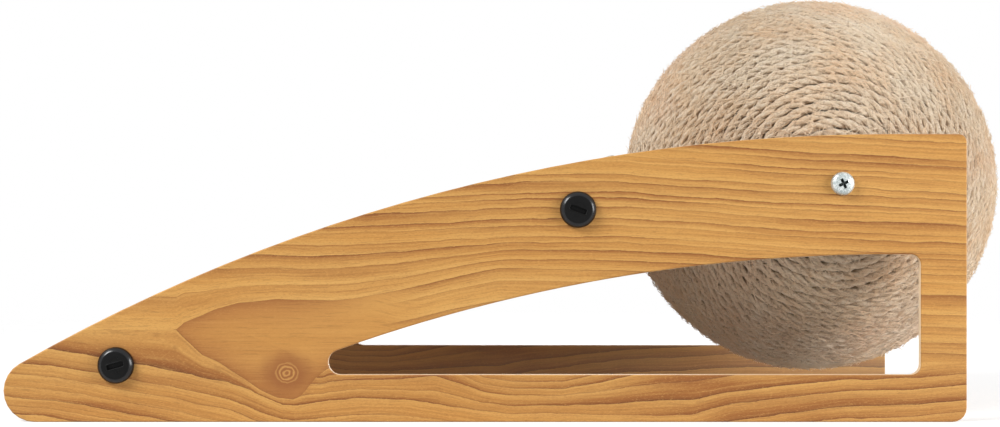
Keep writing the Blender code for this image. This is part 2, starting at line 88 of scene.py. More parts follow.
camera_data = bpy.data.cameras.new("camera")
camera_data.sensor_width = SENSOR_WIDTH
camera_data.lens = SENSOR_WIDTH * LENS_PIXELS / IMAGE_WIDTH
camera_data.shift_x = (IMAGE_WIDTH / 2 - AIM_PIXEL[0]) / IMAGE_WIDTH
camera_data.shift_y = (AIM_PIXEL[1] - IMAGE_HEIGHT / 2) / IMAGE_WIDTH
camera_data.clip_start = 0.01
camera = bpy.data.objects.new("camera", camera_data)
bpy.context.collection.objects.link(camera)
camera.location = (TOE.x + (AIM_PIXEL[0] - TOE_PIXEL) * METRES_PER_PIXEL,
                   -OUTER_FACE - DISTANCE,
                   (FLOOR_PIXEL - AIM_PIXEL[1]) * METRES_PER_PIXEL)
camera.rotation_euler = (math.pi / 2, 0, 0)
bpy.context.scene.camera = camera
print("camera at", tuple(camera.location), "lens", camera_data.lens)

# %% [markdown]
# Materials here are sums and products of masks, and written as nodes one by one they are hard to
# read. This small class wraps a socket and answers to Python's own signs, so that a mask is
# written as 1 - mask, and each sign adds its Math node. Any other node comes from its node method.


# %% A socket that answers to Python's signs
class Value:
    """One socket of a material's tree."""

    def __init__(self, tree, socket):
        self.tree = tree
        self.socket = socket

    def node(self, kind, settings=None, inputs=None, output=0):
        """Add a node: its settings first, then its sockets, and return one of its outputs."""
        made = self.tree.nodes.new("ShaderNode" + kind)
        for name, setting in (settings or {}).items():
            if name == "stops":
                self.set_stops(made.color_ramp, setting)
            else:
                setattr(made, name, setting)
        for key, value in (inputs or {}).items():
            socket = made.inputs[key]
            if isinstance(value, Value):
                self.tree.links.new(value.socket, socket)
            else:
                socket.default_value = value
        return Value(self.tree, made.outputs[output])

    @staticmethod
    def set_stops(ramp, stops):
        """Give a colour ramp its stops, each a place and a colour."""
        while len(ramp.elements) < len(stops):
            ramp.elements.new(0.5)
        for element, (place, colour) in zip(ramp.elements, stops):
            element.position = place
            element.color = (*colour, 1.0)

    def maths(self, operation, *others):
        """One Math node on this value and the others."""
        inputs = dict(enumerate((self, *others)))
        return self.node("Math", {"operation": operation}, inputs)

    def __add__(self, other):
        return self.maths("ADD", other)

    __radd__ = __add__

    def __sub__(self, other):
        return self.maths("SUBTRACT", other)

    def __rsub__(self, other):
        return self.maths("MULTIPLY_ADD", -1.0, other)

    def __mul__(self, other):
        return self.maths("MULTIPLY", other)

    __rmul__ = __mul__

    def __truediv__(self, other):
        return self.maths("DIVIDE", other)

    def __rtruediv__(self, other):
        return self.maths("POWER", -1.0) * other

    def __abs__(self):
        return self.maths("ABSOLUTE")

    def least(self, other):
        return self.maths("MINIMUM", other)

    def most(self, other):
        return self.maths("MAXIMUM", other)

    def step(self, low, high):
        """0 below low, 1 above high, and a smooth rise between."""
        inputs = {"Value": self, "From Min": low, "From Max": high}
        return self.node("MapRange", {"interpolation_type": "SMOOTHSTEP"}, inputs)

    def hump(self, centre, width):
        """A smooth bump of height 1 about a centre."""
        away = (self - centre) / width
        return (away * away * -1.0).maths("EXPONENT")


# %% [markdown]
# A few helpers keep each material short. One begins a material and hands over the place of the
# shaded point. Others take a vector apart and join one, mix two colours by a mask and read a noise.
# The last two turn a height into a normal and set the surface.


# %% Helpers for materials
MILLIMETRES = 1000.0


def begin(name):
    """A new material, its principled shader, and the object's own place as a Value."""
    material = bpy.data.materials.new(name)
    material.use_nodes = True
    tree = material.node_tree
    shader = tree.nodes["Principled BSDF"]
    coordinates = tree.nodes.new("ShaderNodeTexCoord")
    place = Value(tree, coordinates.outputs["Object"])
    return material, shader, place


def part_of(vector, i):
    """One of a vector's three parts."""
    return vector.node("SeparateXYZ", inputs={0: vector}, output=i)


def in_millimetres(place):
    """The three parts of a place, in millimetres."""
    return [part_of(place, i) * MILLIMETRES for i in range(3)]


def join(x, y, z):
    """A vector from three values or numbers."""
    parts = dict(enumerate((x, y, z)))
    first = next(part for part in parts.values() if isinstance(part, Value))
    return first.node("CombineXYZ", inputs=parts)


def blend(mask, first, second, kind="MIX"):
    """Colour first where the mask is 0, and second where it is 1."""
    settings = {"data_type": "RGBA", "blend_type": kind}
    inputs = {}
    for key, colour in ((6, first), (7, second)):
        inputs[key] = colour if isinstance(colour, Value) else (*colour, 1.0)
    inputs[0] = mask
    return mask.node("Mix", settings, inputs, output=2)


def noise_at(place, scale, detail=3.0, roughness=0.5, output=0):
    """Noise from 0 to 1 about 0.5, at a place."""
    inputs = {"Vector": place, "Scale": scale, "Detail": detail, "Roughness": roughness}
    return place.node("TexNoise", inputs=inputs, output=output)


def bump(height, distance, strength=1.0):
    """A normal that shows a height; distance is the height's size in metres."""
    return height.node("Bump", inputs={"Height": height, "Distance": distance, "Strength": strength})


def plug(shader, **sockets):
    """Set or link the principled shader's sockets; an underscore stands for a space."""
    tree = shader.id_data
    for name, value in sockets.items():
        socket = shader.inputs[name.replace("_", " ")]
        if isinstance(value, Value):
            tree.links.new(value.socket, socket)
        elif hasattr(value, "__len__"):
            socket.default_value = (*value, 1.0)
        else:
            socket.default_value = value


# %% [markdown]
# The panels are softwood, oiled honey-brown. A plank's figure is made of growth rings cut at a
# slant, and a wood texture from a wave node would give even stripes. This figure is shaped instead.
# A brown tongue points at the toe, with a knot in its belly. Four curves along the plank lead the
# rings: the tongue's roof and keel, and one ring well above it and one below. A place's distance is
# measured between them, so the rings bend round the tongue and run nearly level in the arm. All of
# it is in millimetres, along the plank and up it, and each curve is a few places with its height.


# %% The growth rings as a field
PLANK_FROM = -259.0
PLANK_RUN = 480.0
RAMP_TOP = 100.0
TONGUE_TIP = -173.0
TONGUE_MIDDLE = 46.0
BELLY_DROP = 16.0
ROOF = ((-259, 46), (-173, 46), (-169, 49.6), (-163, 52), (-153, 56.2), (-142, 59.2), (-123, 61),
        (-95, 60.7), (-82, 62), (-61, 65.8), (-33, 72.5), (-12, 76.6), (20, 76.2), (60, 75), (221, 69))
KEEL = ((-259, 46), (-173, 46), (-169, 42), (-160, 33.4), (-152, 30), (-141, 22.6), (-132, 16.4),
        (-123, 12.3), (-114, 11.2), (-110, 13.6), (-103, 22.2), (-97, 27), (-60, 29), (-44, 34),
        (-33, 29), (-20, 22.5), (-4, 20), (20, 20), (40, 24.5), (56, 29), (70, 32), (100, 34), (221, 42))
CREST = ((-259, 100), (-186, 105), (-172, 104), (-158, 93), (-146, 89), (-111, 87.5), (-61, 89.4),
         (0, 92.2), (48, 92.5), (100, 89.2), (140, 86.6), (221, 83))
TROUGH = ((-259, 38), (-235, 36.2), (-212, 32.6), (-191, 28.6), (-169, 24.3), (-146, 19.3),
          (-136, 15.6), (-128, 12), (-120, 9.2), (-113, 8.7), (-98, 10.6), (-82, 11.9), (-60, 11.4),
          (-27, 6.9), (-9, 4.5), (40, 3.3), (85, 3.6), (103, 8.2), (130, 11.6), (160, 15.4),
          (196, 16.2), (221, 18.5))
CREST_AT = 84.6
ROOF_TO_CREST = 24.6
TROUGH_AT = 24.0
KEEL_TO_TROUGH = 4.0
WIDER_BEHIND = 12.0
ABOVE_RINGS = (9, 4, 12, 5, 8, 6, 10, 6, 6.8, 7.5, 6.0, 4.3, 5.9, 3.2, 5.8, 4.4, 2.8, 5.4, 3.4, 6.2,
               2.6, 4.6, 3.4, 5.6, 2.8, 4.2, 3.2, 5.0, 4.0)
BELOW_RINGS = (4.5, 3.5, 3.5, 3.5, 5.0, 4.0, 8.0, 5.5, 6.5, 5.0, 4.5, 4.0)


def height_along(x, stops):
    """A smooth curve along the plank through a few places, each a distance along it and a height."""
    shades = [((place - PLANK_FROM) / PLANK_RUN, (height / RAMP_TOP,) * 3) for place, height in stops]
    ramp = x.node("ValToRGB", {"stops": shades}, {0: (x - PLANK_FROM) / PLANK_RUN})
    return ramp * RAMP_TOP


def count_rings(distance, widths):
    """How many rings of these widths lie within a distance, with the part of the last one."""
    reach = sum(widths)
    stops = [(0.0, (0.0, 0.0, 0.0))]
    for i in range(len(widths)):
        share = (i + 1) / len(widths)
        stops.append((sum(widths[:i + 1]) / reach, (share, share, share)))
    ramp = distance.node("ValToRGB", {"stops": stops}, {0: distance / reach})
    return ramp * len(widths)


def ring_field(x, z, stray):
    """The rings at a place, its height moved by stray. Four values: the rings counted, the distance
    that they are counted by, how far the place is outside the tongue, and 1 below its middle line."""
    roof = height_along(x, ROOF) + stray * 0.5
    keel = height_along(x, KEEL) + stray * 0.5
    crest = height_along(x, CREST) + stray
    trough = height_along(x, TROUGH) + stray
    below = z.maths("LESS_THAN", TONGUE_MIDDLE + stray * 0.5 - x.step(-150.0, -98.0) * BELLY_DROP)
    over = (z - roof).most(0.0) / (crest - roof) * ROOF_TO_CREST - (roof - z).most(0.0)
    over = over.least(ROOF_TO_CREST) + (z - crest).most(0.0) + (CREST_AT - ROOF_TO_CREST)
    squeeze = (x.step(-112.0, -98.0) * WIDER_BEHIND + KEEL_TO_TROUGH) / (keel - trough).most(2.0)
    under = TROUGH_AT + (trough - z).most(0.0) - (z - trough).most(0.0) * squeeze
    up = count_rings(over, ABOVE_RINGS)
    rings = up + (count_rings(under, BELOW_RINGS) - up) * below
    outside = (z - roof).most(keel - z).most(TONGUE_TIP - x)
    return rings, over + (under - over) * below, outside, below


# %% [markdown]
# Each ring starts with pale early wood, darkens slowly and ends at a thin late line, and then the
# next one starts. The tongue does the same: it is darkest along its rim and fades inwards. Fine
# streaks follow the rings, and short pores lie along the plank. The faces and their softened edges
# carry the figure, and the sawn edges are coloured a pale cream.


# %% The wood's colours and places
HONEY = (0.660, 0.318, 0.072)
SUNLIT = (0.780, 0.435, 0.124)
AMBER = (0.345, 0.122, 0.025)
LATE_LINE = (0.165, 0.050, 0.010)
TONGUE_BROWN = (0.440, 0.175, 0.042)
KNOT_BROWN = (0.300, 0.098, 0.024)
CUT_EDGE = (0.900, 0.720, 0.500)
PALE_WOOD = (0.820, 0.620, 0.420)
KNOT = (-117.7, 24.5)
KNOT_STRETCH = 1.15
STAIN = (84.0, 20.0)
PANEL_EDGE = 0.5
CUT_BLUR = 0.08


# %% The knot and the sawn edges
def knot(colour, x, z):
    """Darken the wood round the knot, and draw the knot's own fine whorl."""
    to_knot_x = (x - KNOT[0]) / KNOT_STRETCH
    to_knot_z = z - KNOT[1]
    reach = (to_knot_x * to_knot_x + to_knot_z * to_knot_z).maths("SQRT")
    reach = reach + (noise_at(join(x * 0.22, 0.0, z * 0.22), 1.0, 3.0) - 0.5) * 2.6
    halo = (1.0 - reach.step(4.5, 15.0)) * 0.8
    whorl = 0.5 - (reach * 3.9 + 0.4).maths("COSINE") * 0.5
    heart = 1.0 - reach.step(3.6, 6.2)
    colour = blend(halo, colour, KNOT_BROWN)
    colour = blend(heart * (1.0 - whorl) * 0.55, colour, SUNLIT)
    return blend(heart * whorl * 0.55, colour, KNOT_BROWN)


def sawn(colour, x, y, z, faces):
    """Colour the wood pale cream where the depth y lies between a panel's inner and outer faces."""
    inner, outer = faces
    depth = abs(y)
    cut = depth.step(inner, inner + CUT_BLUR) * (1.0 - depth.step(outer - CUT_BLUR, outer))
    grainy = noise_at(join(x * 0.2, y * 2.0, z * 0.2), 1.0, 3.0)
    edge_cream = blend(grainy.step(0.3, 0.8) * 0.4, CUT_EDGE, HONEY)
    return blend(cut, colour, edge_cream)


# %% The wood as a material
def wood(name, along="x", shift=0.0, edges=None, pale=0.0):
    """Oiled softwood. along is the grain's axis, shift moves the figure along it, edges gives the
    faces between which cuts show, and the last argument whitens all of it: a painted light for a
    panel whose face is seen only in shade."""
    material, shader, place = begin(name)
    x, y, z = in_millimetres(place)
    if along == "y":
        x, y = y, x
    x = x + shift
    sway = noise_at(join(x * 0.012, y * 0.01, z * 0.04), 1.0, 2.0) - 0.5
    ripple = noise_at(join(x * 0.07, y * 0.05, z * 0.2), 1.0, 2.0) - 0.5
    feather = noise_at(join(x * 0.14, y * 0.5, z * 1.3), 1.0, 4.0, 0.65) - 0.5
    rings, fibre, gap, below = ring_field(x, z, sway * 3.0 + ripple * 1.6 + feather * 0.9)
    # What is left of a ring is 1 where it starts and 0 at its late line.
    index = rings.maths("FLOOR")
    left = 1.0 - (rings - index)
    tongue = (1.0 - gap.step(-0.25, 0.1)) * (1.0 - x.step(-75.0, -45.0))
    ringed = 1.0 - tongue

    # No two rings are equally dark, and those in the post are calmer.
    calm = 1.0 - x.step(186.0, 196.0) * (1.0 - z.step(80.0, 95.0)) * z.step(22.0, 30.0) * 0.5
    vary = noise_at(join(x * 0.006, 0.0, index * 5.1), 1.0, 1.0).step(0.36, 0.62) * 0.95 + 0.22
    vary = vary * ringed * calm * (below * 0.25 + 1.0)
    late = (left * -2.8).maths("EXPONENT") * vary
    line = (left * -13.0).maths("EXPONENT") * vary
    early = left.step(0.5, 1.0) * ringed
    half = left.hump(0.47, 0.04) * ringed * noise_at(join(x * 0.02, 0.0, index * 3.3), 1.0, 1.0)
    fading = 1.0 - x.step(-125.0, -60.0) * (0.45 + z.step(30.0, 50.0) * 0.45)
    inside = (gap.least(0.0) / 11.0).maths("EXPONENT") * tongue * fading
    rim = (gap.least(0.0) / 1.3).maths("EXPONENT") * tongue * fading
    stain = x.hump(STAIN[0], 24.0) * z.hump(STAIN[1], 3.6)

    drift = noise_at(join(x * 0.007, y * 0.01, z * 0.03), 1.0, 2.0).step(0.3, 0.7)
    band = noise_at(join(x * 0.004, y * 0.01, z * 0.09), 1.0, 1.0).step(0.45, 0.7)
    colour = blend(drift * 0.45 + early * 0.45, HONEY, SUNLIT)
    colour = blend((inside * 0.9 + tongue * 0.12).least(1.0), colour, TONGUE_BROWN)
    late = late * 1.05 + half * 0.4 + stain * 0.75 + band * 0.24 + below * 0.12
    colour = blend(late.least(1.0), colour, AMBER)
    colour = blend((line * 0.95 + rim * 0.3).least(1.0), colour, LATE_LINE)

    # Streaks and dashes follow the rings, and in the tongue, which has none, the height.
    fibre = fibre + (z * 0.8 - fibre) * tongue
    streaks = noise_at(join(x * 0.018, y * 0.3, fibre), 1.0, 4.0, 0.65)
    firm = 1.0 - tongue * 0.6
    colour = blend(streaks.step(0.50, 0.68) * firm * 0.32, colour, AMBER)
    colour = blend((1.0 - streaks).step(0.50, 0.68) * firm * 0.35, colour, SUNLIT)
    dashes = noise_at(join(x * 0.10, y * 0.5, fibre * 2.2), 1.0, 2.0, 0.6)
    colour = blend(dashes.step(0.55, 0.70) * 0.22, colour, LATE_LINE)
    pores = noise_at(join(x * 0.7, y * 1.4, z * 1.9), 1.0, 3.0, 0.75)
    colour = blend(pores.step(0.52, 0.70) * firm * 0.36, colour, AMBER)
    colour = blend((1.0 - pores).step(0.52, 0.70) * firm * 0.36, colour, SUNLIT)

    colour = knot(colour, x, z)
    # Painted light: the whitening lifts and greys a panel whose face is seen only in shade.
    colour = blend((drift * 0.5 + 0.75) * pale, colour, PALE_WOOD)
    relief = streaks * 0.3 + dashes * 0.2 + pores * 0.4 - line * 0.9
    if edges:
        colour = sawn(colour, x, y, z, edges)
    plug(shader, Base_Color=colour, Roughness=0.52 + streaks * 0.12, Specular_IOR_Level=0.45,
         Normal=bump(relief, 0.00016, 0.6))
    return material


# %% Four stretches of it
CUT_FACES = (INNER_FACE * MILLIMETRES + PANEL_EDGE, OUTER_FACE * MILLIMETRES - PANEL_EDGE)
right_wood = wood("oiled_right_panel_wood", edges=CUT_FACES)
left_wood = wood("oiled_left_panel_wood", shift=95.0, edges=CUT_FACES, pale=0.2)
rail_wood = wood("oiled_rail_wood", along="y", shift=260.0)
board_wood = wood("oiled_board_wood", along="y", shift=140.0)

# %% [markdown]
# A CAD node whose shape is right keeps it and only changes its material. Each node's mesh holds its
# own place, so one figure would suit both panels. The left one is shifted along it, because the two
# weren't cut from the same stretch of plank. It is also made a little paler, a painted light that
# lifts its inner face, which is seen only in shade.


# %% Put materials on CAD nodes
def dress(material, *names):
    """Give CAD nodes a material."""
    for name in names:
        for material_slot in frame["nodes"][name].material_slots:
            material_slot.material = material


dress(right_wood, "side_panel_right")
dress(left_wood, "side_panel_left")
dress(rail_wood, "lower_cross_rail", "upper_cross_rail")
dress(board_wood, "ramp_board")


# %% [markdown]
# The metal is zinc plate, bright and slightly blotched. Its faint spangle is a change of roughness
# and of tone, and a skin of oxide makes it only partly metallic. The recess of a screw gets a dark
# copy of the plate, a painted shade for its hollow. Black nylon makes the coin bolts, with a polished
# shoulder.
# The other two plastics are a milky nylon for the sleeves and a plain moulding for the ball.


# %% Metal and plastics
ZINC_DARK = (0.58, 0.64, 0.64)
ZINC_LIGHT = (0.84, 0.88, 0.87)
OXIDE = (0.22, 0.29, 0.28)


def zinc(name, dark, light, blots):
    """Zinc-plated steel with a soft spangle and blots of oxide."""
    material, shader, place = begin(name)
    spangle = noise_at(place, 900.0, 3.0)
    blotch = noise_at(place, 260.0, 2.0).step(0.42, 0.62)
    colour = blend(spangle.step(0.35, 0.7), dark, light)
    colour = blend(blotch * blots, colour, OXIDE)
    plug(shader, Base_Color=colour, Metallic=0.55 - blotch * 0.2, Roughness=0.16 + spangle * 0.22)
    return material


def moulded(name, dark, light, roughness, gloss=0.5):
    """Moulded plastic with a fine spark-eroded grain."""
    material, shader, place = begin(name)
    fine = noise_at(place, 1400.0, 3.0)
    drift = noise_at(place, 40.0, 2.0)
    colour = blend(drift.step(0.3, 0.7), dark, light)
    plug(shader, Base_Color=colour, Roughness=roughness + fine * 0.12, Specular_IOR_Level=gloss,
         Normal=bump(fine, 0.00004, 0.5))
    return material


zinc_plate = zinc("zinc_plate", ZINC_DARK, ZINC_LIGHT, 0.35)
# The dark zinc of the recess is a painted shade for the hollow of the cross.
zinc_painted_shade = zinc("zinc_painted_recess_shade", (0.06, 0.07, 0.07), (0.22, 0.24, 0.24), 0.3)
black_plastic = moulded("black_moulded_plastic", (0.003, 0.003, 0.003), (0.006, 0.006, 0.006), 0.34, 0.14)
black_gloss = moulded("black_polished_plastic", (0.003, 0.003, 0.004), (0.006, 0.006, 0.007), 0.16, 0.38)
nylon = moulded("milky_nylon", (0.70, 0.69, 0.64), (0.80, 0.79, 0.75), 0.38)
shell_plastic = moulded("ball_moulding", (0.30, 0.24, 0.17), (0.36, 0.29, 0.21), 0.5)
dress(zinc_plate, "axle_rod", "rail_insert_lower_right", "rail_insert_lower_left",
      "rail_insert_upper_right", "rail_insert_upper_left", "board_screw_lower_right",
      "board_screw_lower_left", "board_screw_upper_right", "board_screw_upper_left")
dress(nylon, "axle_spacer_right", "axle_spacer_left", "hub_bush_right", "hub_bush_left")
dress(shell_plastic, "ball_shell_right", "ball_shell_left")

# %% [markdown]
# The rope is 5.3 mm jute, laid up from three strands, and about 23 m of it runs in one spiral from
# hub to hub. A rope could be faked with a bump on a plain tube, but its rows, its dark gaps and its
# broken outline all come from real strands. So each strand is one long tube that twists with its
# two neighbours round the rope's path, and the path is a spiral on a sphere.

# %% The rope's path
ROPE_DIAMETER = 0.0053
ROPE_TURNS = 54
LAY_LENGTH = 0.0218
POINTS_IN_TURN = 400
POINT_STEP = 0.00142
STRANDS = 3
HUB_CLEAR_ANGLE = 0.122


def spread_evenly(points, step):
    """Points at equal steps along a path."""
    lengths = np.linalg.norm(np.diff(points, axis=0), axis=1)
    run = np.concatenate([[0.0], np.cumsum(lengths)])
    count = int(run[-1] / step)
    wanted = np.linspace(0.0, run[-1], count + 1)
    return np.stack([np.interp(wanted, run, points[:, i]) for i in range(3)], 1), wanted


def waves(values, seed, count=7):
    """A smooth random curve between about -1 and 1, made of a few sines."""
    draw = np.random.default_rng(seed)
    total = np.zeros_like(values)
    for _ in range(count):
        total += np.sin(values * draw.uniform(0.3, 1.7) + draw.uniform(0, 2 * math.pi))
    return total / math.sqrt(count)


path_radius = BALL_RADIUS - ROPE_DIAMETER / 2
row = (math.pi - 2 * HUB_CLEAR_ANGLE) / (ROPE_TURNS + 1)
turns = np.linspace(0.0, ROPE_TURNS, ROPE_TURNS * POINTS_IN_TURN)
polar = HUB_CLEAR_ANGLE + row / 2 + row * turns
around = 2 * math.pi * turns
spiral = path_radius * np.stack([np.sin(polar) * np.cos(around), -np.cos(polar),
                                 np.sin(polar) * np.sin(around)], 1)
rope_points, rope_run = spread_evenly(spiral, POINT_STEP)
print(f"rope: {rope_run[-1]:.2f} m in {ROPE_TURNS} turns, {len(rope_points)} points")

# %% [markdown]
# Across the path, one direction points out of the ball and the other along it. The three strands
# stand round the path in those two directions and turn once in each lay length. Small slow waves
# in their width, their lay and the row's place keep the rows from looking like a machine thread.
# Each wave has its own seed, so it is the same in every run.

# %% Strands that twist round the path
ROW_WANDER = 0.00016
STRAND_OFFSET = ROPE_DIAMETER * 0.245
STRAND_RADIUS = ROPE_DIAMETER * 0.258
STRAND_STRAY = 0.00022
LAY_WANDER = 0.9

tangent = np.gradient(rope_points, axis=0)
tangent /= np.linalg.norm(tangent, axis=1)[:, None]
outward = rope_points / np.linalg.norm(rope_points, axis=1)[:, None]
sideways = np.cross(tangent, outward)
rope_points = rope_points + sideways * (waves(rope_run / 0.03, 3) * ROW_WANDER)[:, None]
rope_points = rope_points + outward * (waves(rope_run / 0.04, 4) * ROW_WANDER)[:, None]


def triangles(mesh):
    """How many triangles a mesh's faces make."""
    return sum(len(face.vertices) - 2 for face in mesh.polygons)


def add_piece(name, data, material, body):
    """Link a finished mesh, say what it rides on and which slot it takes its finish from."""
    piece = bpy.data.objects.new(name, data)
    bpy.context.collection.objects.link(piece)
    data.materials.append(material)
    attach(piece, body)
    return piece


def tube_mesh(name, paths, radius, resolution, radii=None):
    """One mesh of round tubes along the paths, with their length and girth as UVs."""
    curve = bpy.data.curves.new(name, "CURVE")
    curve.dimensions = "3D"
    curve.bevel_depth = radius
    curve.bevel_resolution = resolution
    curve.use_fill_caps = True
    curve.twist_mode = "MINIMUM"
    for i, path in enumerate(paths):
        spline = curve.splines.new("POLY")
        spline.points.add(len(path) - 1)
        spline.points.foreach_set("co", np.c_[path, np.ones(len(path))].ravel())
        if radii is not None:
            spline.points.foreach_set("radius", radii[i])
    holder = bpy.data.objects.new(name + "_curve", curve)
    bpy.context.collection.objects.link(holder)
    graph = bpy.context.evaluated_depsgraph_get()
    mesh = bpy.data.meshes.new_from_object(holder.evaluated_get(graph), depsgraph=graph)
    mesh.name = name
    bpy.data.objects.remove(holder)
    bpy.data.curves.remove(curve)
    mesh.shade_smooth()
    return mesh


twist = 2 * math.pi * rope_run / LAY_LENGTH + waves(rope_run / 0.045, 5) * LAY_WANDER
centre = np.array(BALL_CENTRE)
strand_meshes = []
for k in range(STRANDS):
    angle = twist + 2 * math.pi * k / STRANDS
    wide = 1.0 + waves(rope_run / 0.006, 20 + k) * 0.09 + waves(rope_run / 0.0022, 30 + k) * 0.10
    off_path = outward * np.cos(angle)[:, None] + sideways * np.sin(angle)[:, None]
    stray = (waves(rope_run / 0.0045, 40 + k) * STRAND_STRAY)[:, None] * sideways
    path = centre + rope_points + off_path * STRAND_OFFSET + stray
    strand_meshes.append(tube_mesh(f"rope_strand_{k + 1}", [path], STRAND_RADIUS, 1, [wide]))
print("triangles in a strand:", triangles(strand_meshes[0]))

# %% [markdown]
# Jute is a bast fibre: long, hairy, straw-coloured, paler where light grazes it. The strand's UV
# runs along it and round it, so a noise stretched in length and slanted against the girth reads as
# fibres that were spun. Patches of tone change slowly over the ball as they do in a natural yarn.
# Where the yarn lies deep between two rows it is painted darker, a painted shade for the grooves.


# %% The jute
STRAW = (0.950, 0.705, 0.460)
PALE_STRAW = (0.990, 0.870, 0.690)
PINK_STRAW = (0.960, 0.680, 0.470)
DARK_STRAW = (0.400, 0.215, 0.085)
FIBRE_RUN = 22.9
FIBRE_LENGTH = 0.0045
GROOVE_FLOOR = BALL_RADIUS - 0.0042
GROOVE_TOP = BALL_RADIUS - 0.0008


def hair_lines(run, girth, seed):
    """Thin curling lines where a stretched noise passes its middle value."""
    field = noise_at(join(run, girth, seed), 1.0, 2.0, 0.55)
    return (1.0 - abs(field - 0.5) * 34.0).most(0.0)


def jute(name, spun=True):
    """Spun jute; spun yarn reads the tube's UV, and loose fibres only their place."""
    material, shader, place = begin(name)
    tone = noise_at(place, 30.0, 3.0, 0.6)
    blush = noise_at(place, 14.0, 1.0)
    speck = noise_at(place, 700.0, 4.0, 0.75)
    colour = blend(tone.step(0.25, 0.75) * (0.8 if spun else 1.0), STRAW, PALE_STRAW)
    colour = blend(blush.step(0.45, 0.7) * 0.5, colour, PINK_STRAW)
    plug(shader, Roughness=0.9, Specular_IOR_Level=0.15, Sheen_Weight=0.4, Sheen_Roughness=0.6)
    if spun:
        uv = place.node("UVMap", {"uv_map": "UVMap"})
        run = part_of(uv, 1)
        girth = part_of(uv, 0)
        along = run * (FIBRE_RUN / FIBRE_LENGTH)
        fibres = noise_at(join(along, girth * 9.0 + along * 0.5, 0.0), 1.0, 4.0, 0.75)
        hairs = hair_lines(along * 0.6, girth * 5.0 - along * 0.7, 3.0)
        hairs = hairs.most(hair_lines(along * 0.5, girth * 4.0 + along * 1.3, 8.0))
        colour = blend(fibres.step(0.5, 0.66) * 0.8, colour, DARK_STRAW)
        colour = blend((1.0 - fibres).step(0.5, 0.66) * 0.75, colour, PALE_STRAW)
        colour = blend(speck.step(0.50, 0.64) * 0.75, colour, DARK_STRAW)
        colour = blend((1.0 - speck).step(0.50, 0.66) * 0.65, colour, PALE_STRAW)
        colour = blend(hairs * 0.7, colour, PALE_STRAW)
        # Painted shade: the yarn is darkened by its depth below the ball's outer face, where shade falls
        # between two rows.
        middle = tuple(BALL_CENTRE)
        reach = place.node("VectorMath", {"operation": "DISTANCE"}, {0: place, 1: middle}, output=1)
        sunk = 1.0 - reach.step(GROOVE_FLOOR, GROOVE_TOP)
        colour = blend(sunk * 0.85, colour, DARK_STRAW)
        relief = fibres + speck * 0.9 + hairs * 0.35
        plug(shader, Normal=bump(relief, 0.0004, 0.6))
    plug(shader, Base_Color=colour)
    return material


jute_yarn = jute("jute_yarn")
jute_fibre = jute("jute_fibre", spun=False)
for k, mesh in enumerate(strand_meshes):
    add_piece(f"rope_strand_{k + 1}", mesh, jute_yarn, "ball")
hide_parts("rope_winding")

# %% [markdown]
# Loose fibres are everywhere on the rope. Most lie along it and only roughen it. Some stand off,
# and those show along the ball's outline. They are thousands of thin bent hairs, in three pieces
# that lie and one that stands. Each hair has only a few faces, because there are so many of them.

# %% Loose fibres
LYING_LAYERS = 3
LYING_HAIRS = 6600
LYING_RADIUS = 0.00014
LYING_SHAPE = {"length": 0.0052, "rise": 0.0015, "spread": 0.8}
STANDING_HAIRS = 3400
STANDING_RADIUS = 0.00008
STANDING_SHAPE = {"length": 0.0035, "rise": 0.0026, "spread": 0.5}
HAIR_FOOT = 0.45
HAIR_STEPS = (0.0, 0.35, 0.7, 1.0)
HAIR_LIFT_POWER = 1.6


def hair_paths(count, seed, length, rise, spread):
    """Short bent paths that leave the rope: length and rise in metres, spread across the rope."""
    draw = np.random.default_rng(seed)
    paths = []
    for i in draw.integers(10, len(rope_points) - 10, count):
        reach = draw.uniform(0.5, 1.5) * length
        lift = draw.uniform(0.1, 1.0) * rise
        ahead = tangent[i] * draw.choice([-1.0, 1.0]) + sideways[i] * draw.normal(0.0, spread)
        curl = sideways[i] * draw.normal(0.0, 0.3) * reach
        side = draw.normal(0.0, 0.28)
        foot = outward[i] * math.cos(side) + sideways[i] * math.sin(side)
        start = centre + rope_points[i] + foot * ROPE_DIAMETER * HAIR_FOOT
        path = [start + ahead * reach * t + outward[i] * lift * t ** HAIR_LIFT_POWER + curl * t * t
                for t in HAIR_STEPS]
        paths.append(np.array(path))
    return paths


for layer in range(LYING_LAYERS):
    lying = hair_paths(LYING_HAIRS, 11 + layer, **LYING_SHAPE)
    add_piece(f"rope_fibres_{layer + 1}", tube_mesh("rope_fibres", lying, LYING_RADIUS, 0), jute_fibre,
              "ball")
standing = hair_paths(STANDING_HAIRS, 21, **STANDING_SHAPE)
fuzz = add_piece("rope_fuzz", tube_mesh("rope_fuzz", standing, STANDING_RADIUS, 0), jute_fibre,
                 "ball")
print("triangles of the fuzz:", triangles(fuzz.data))

# %% [markdown]
# The ramp's mat is woven from thick sisal yarn in a plain weave, so every yarn passes over one
# and under the next. A fine grid is enough: each point's height is that of the yarn that lies on
# top there, and the height comes from the two yarns' round sections. The grid's edge is then drawn
# down to the board and closed underneath, so the mat is a solid sheet with its own thickness. The
# CAD mat's box gives its slope: a thick sheet's box is a little larger than its length alone
# makes it, so the slope is guessed once and then settles in a few rounds.

# %% The mat's place on the board
MAT_THICKNESS = 0.004
FIRST_SLOPE = 0.3
SLOPE_ROUNDS = 20
mat_low, mat_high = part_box("scratch_mat")
mat_size = mat_high - mat_low
slope = FIRST_SLOPE
for _ in range(SLOPE_ROUNDS):
    slope = math.atan2(mat_size.z - MAT_THICKNESS * math.cos(slope),
                       mat_size.x - MAT_THICKNESS * math.sin(slope))
mat_length = (mat_size.x - MAT_THICKNESS * math.sin(slope)) / math.cos(slope)
mat_width = mat_size.y
up_slope = Vector((math.cos(slope), 0, math.sin(slope)))
off_slope = Vector((-math.sin(slope), 0, math.cos(slope)))
mat_corner = Vector((mat_low.x + MAT_THICKNESS * math.sin(slope), 0, mat_low.z))
print(f"mat {mat_width * MILLIMETRES:.1f} x {mat_length * MILLIMETRES:.1f} mm, "
      f"slope {math.degrees(slope):.2f} degrees")

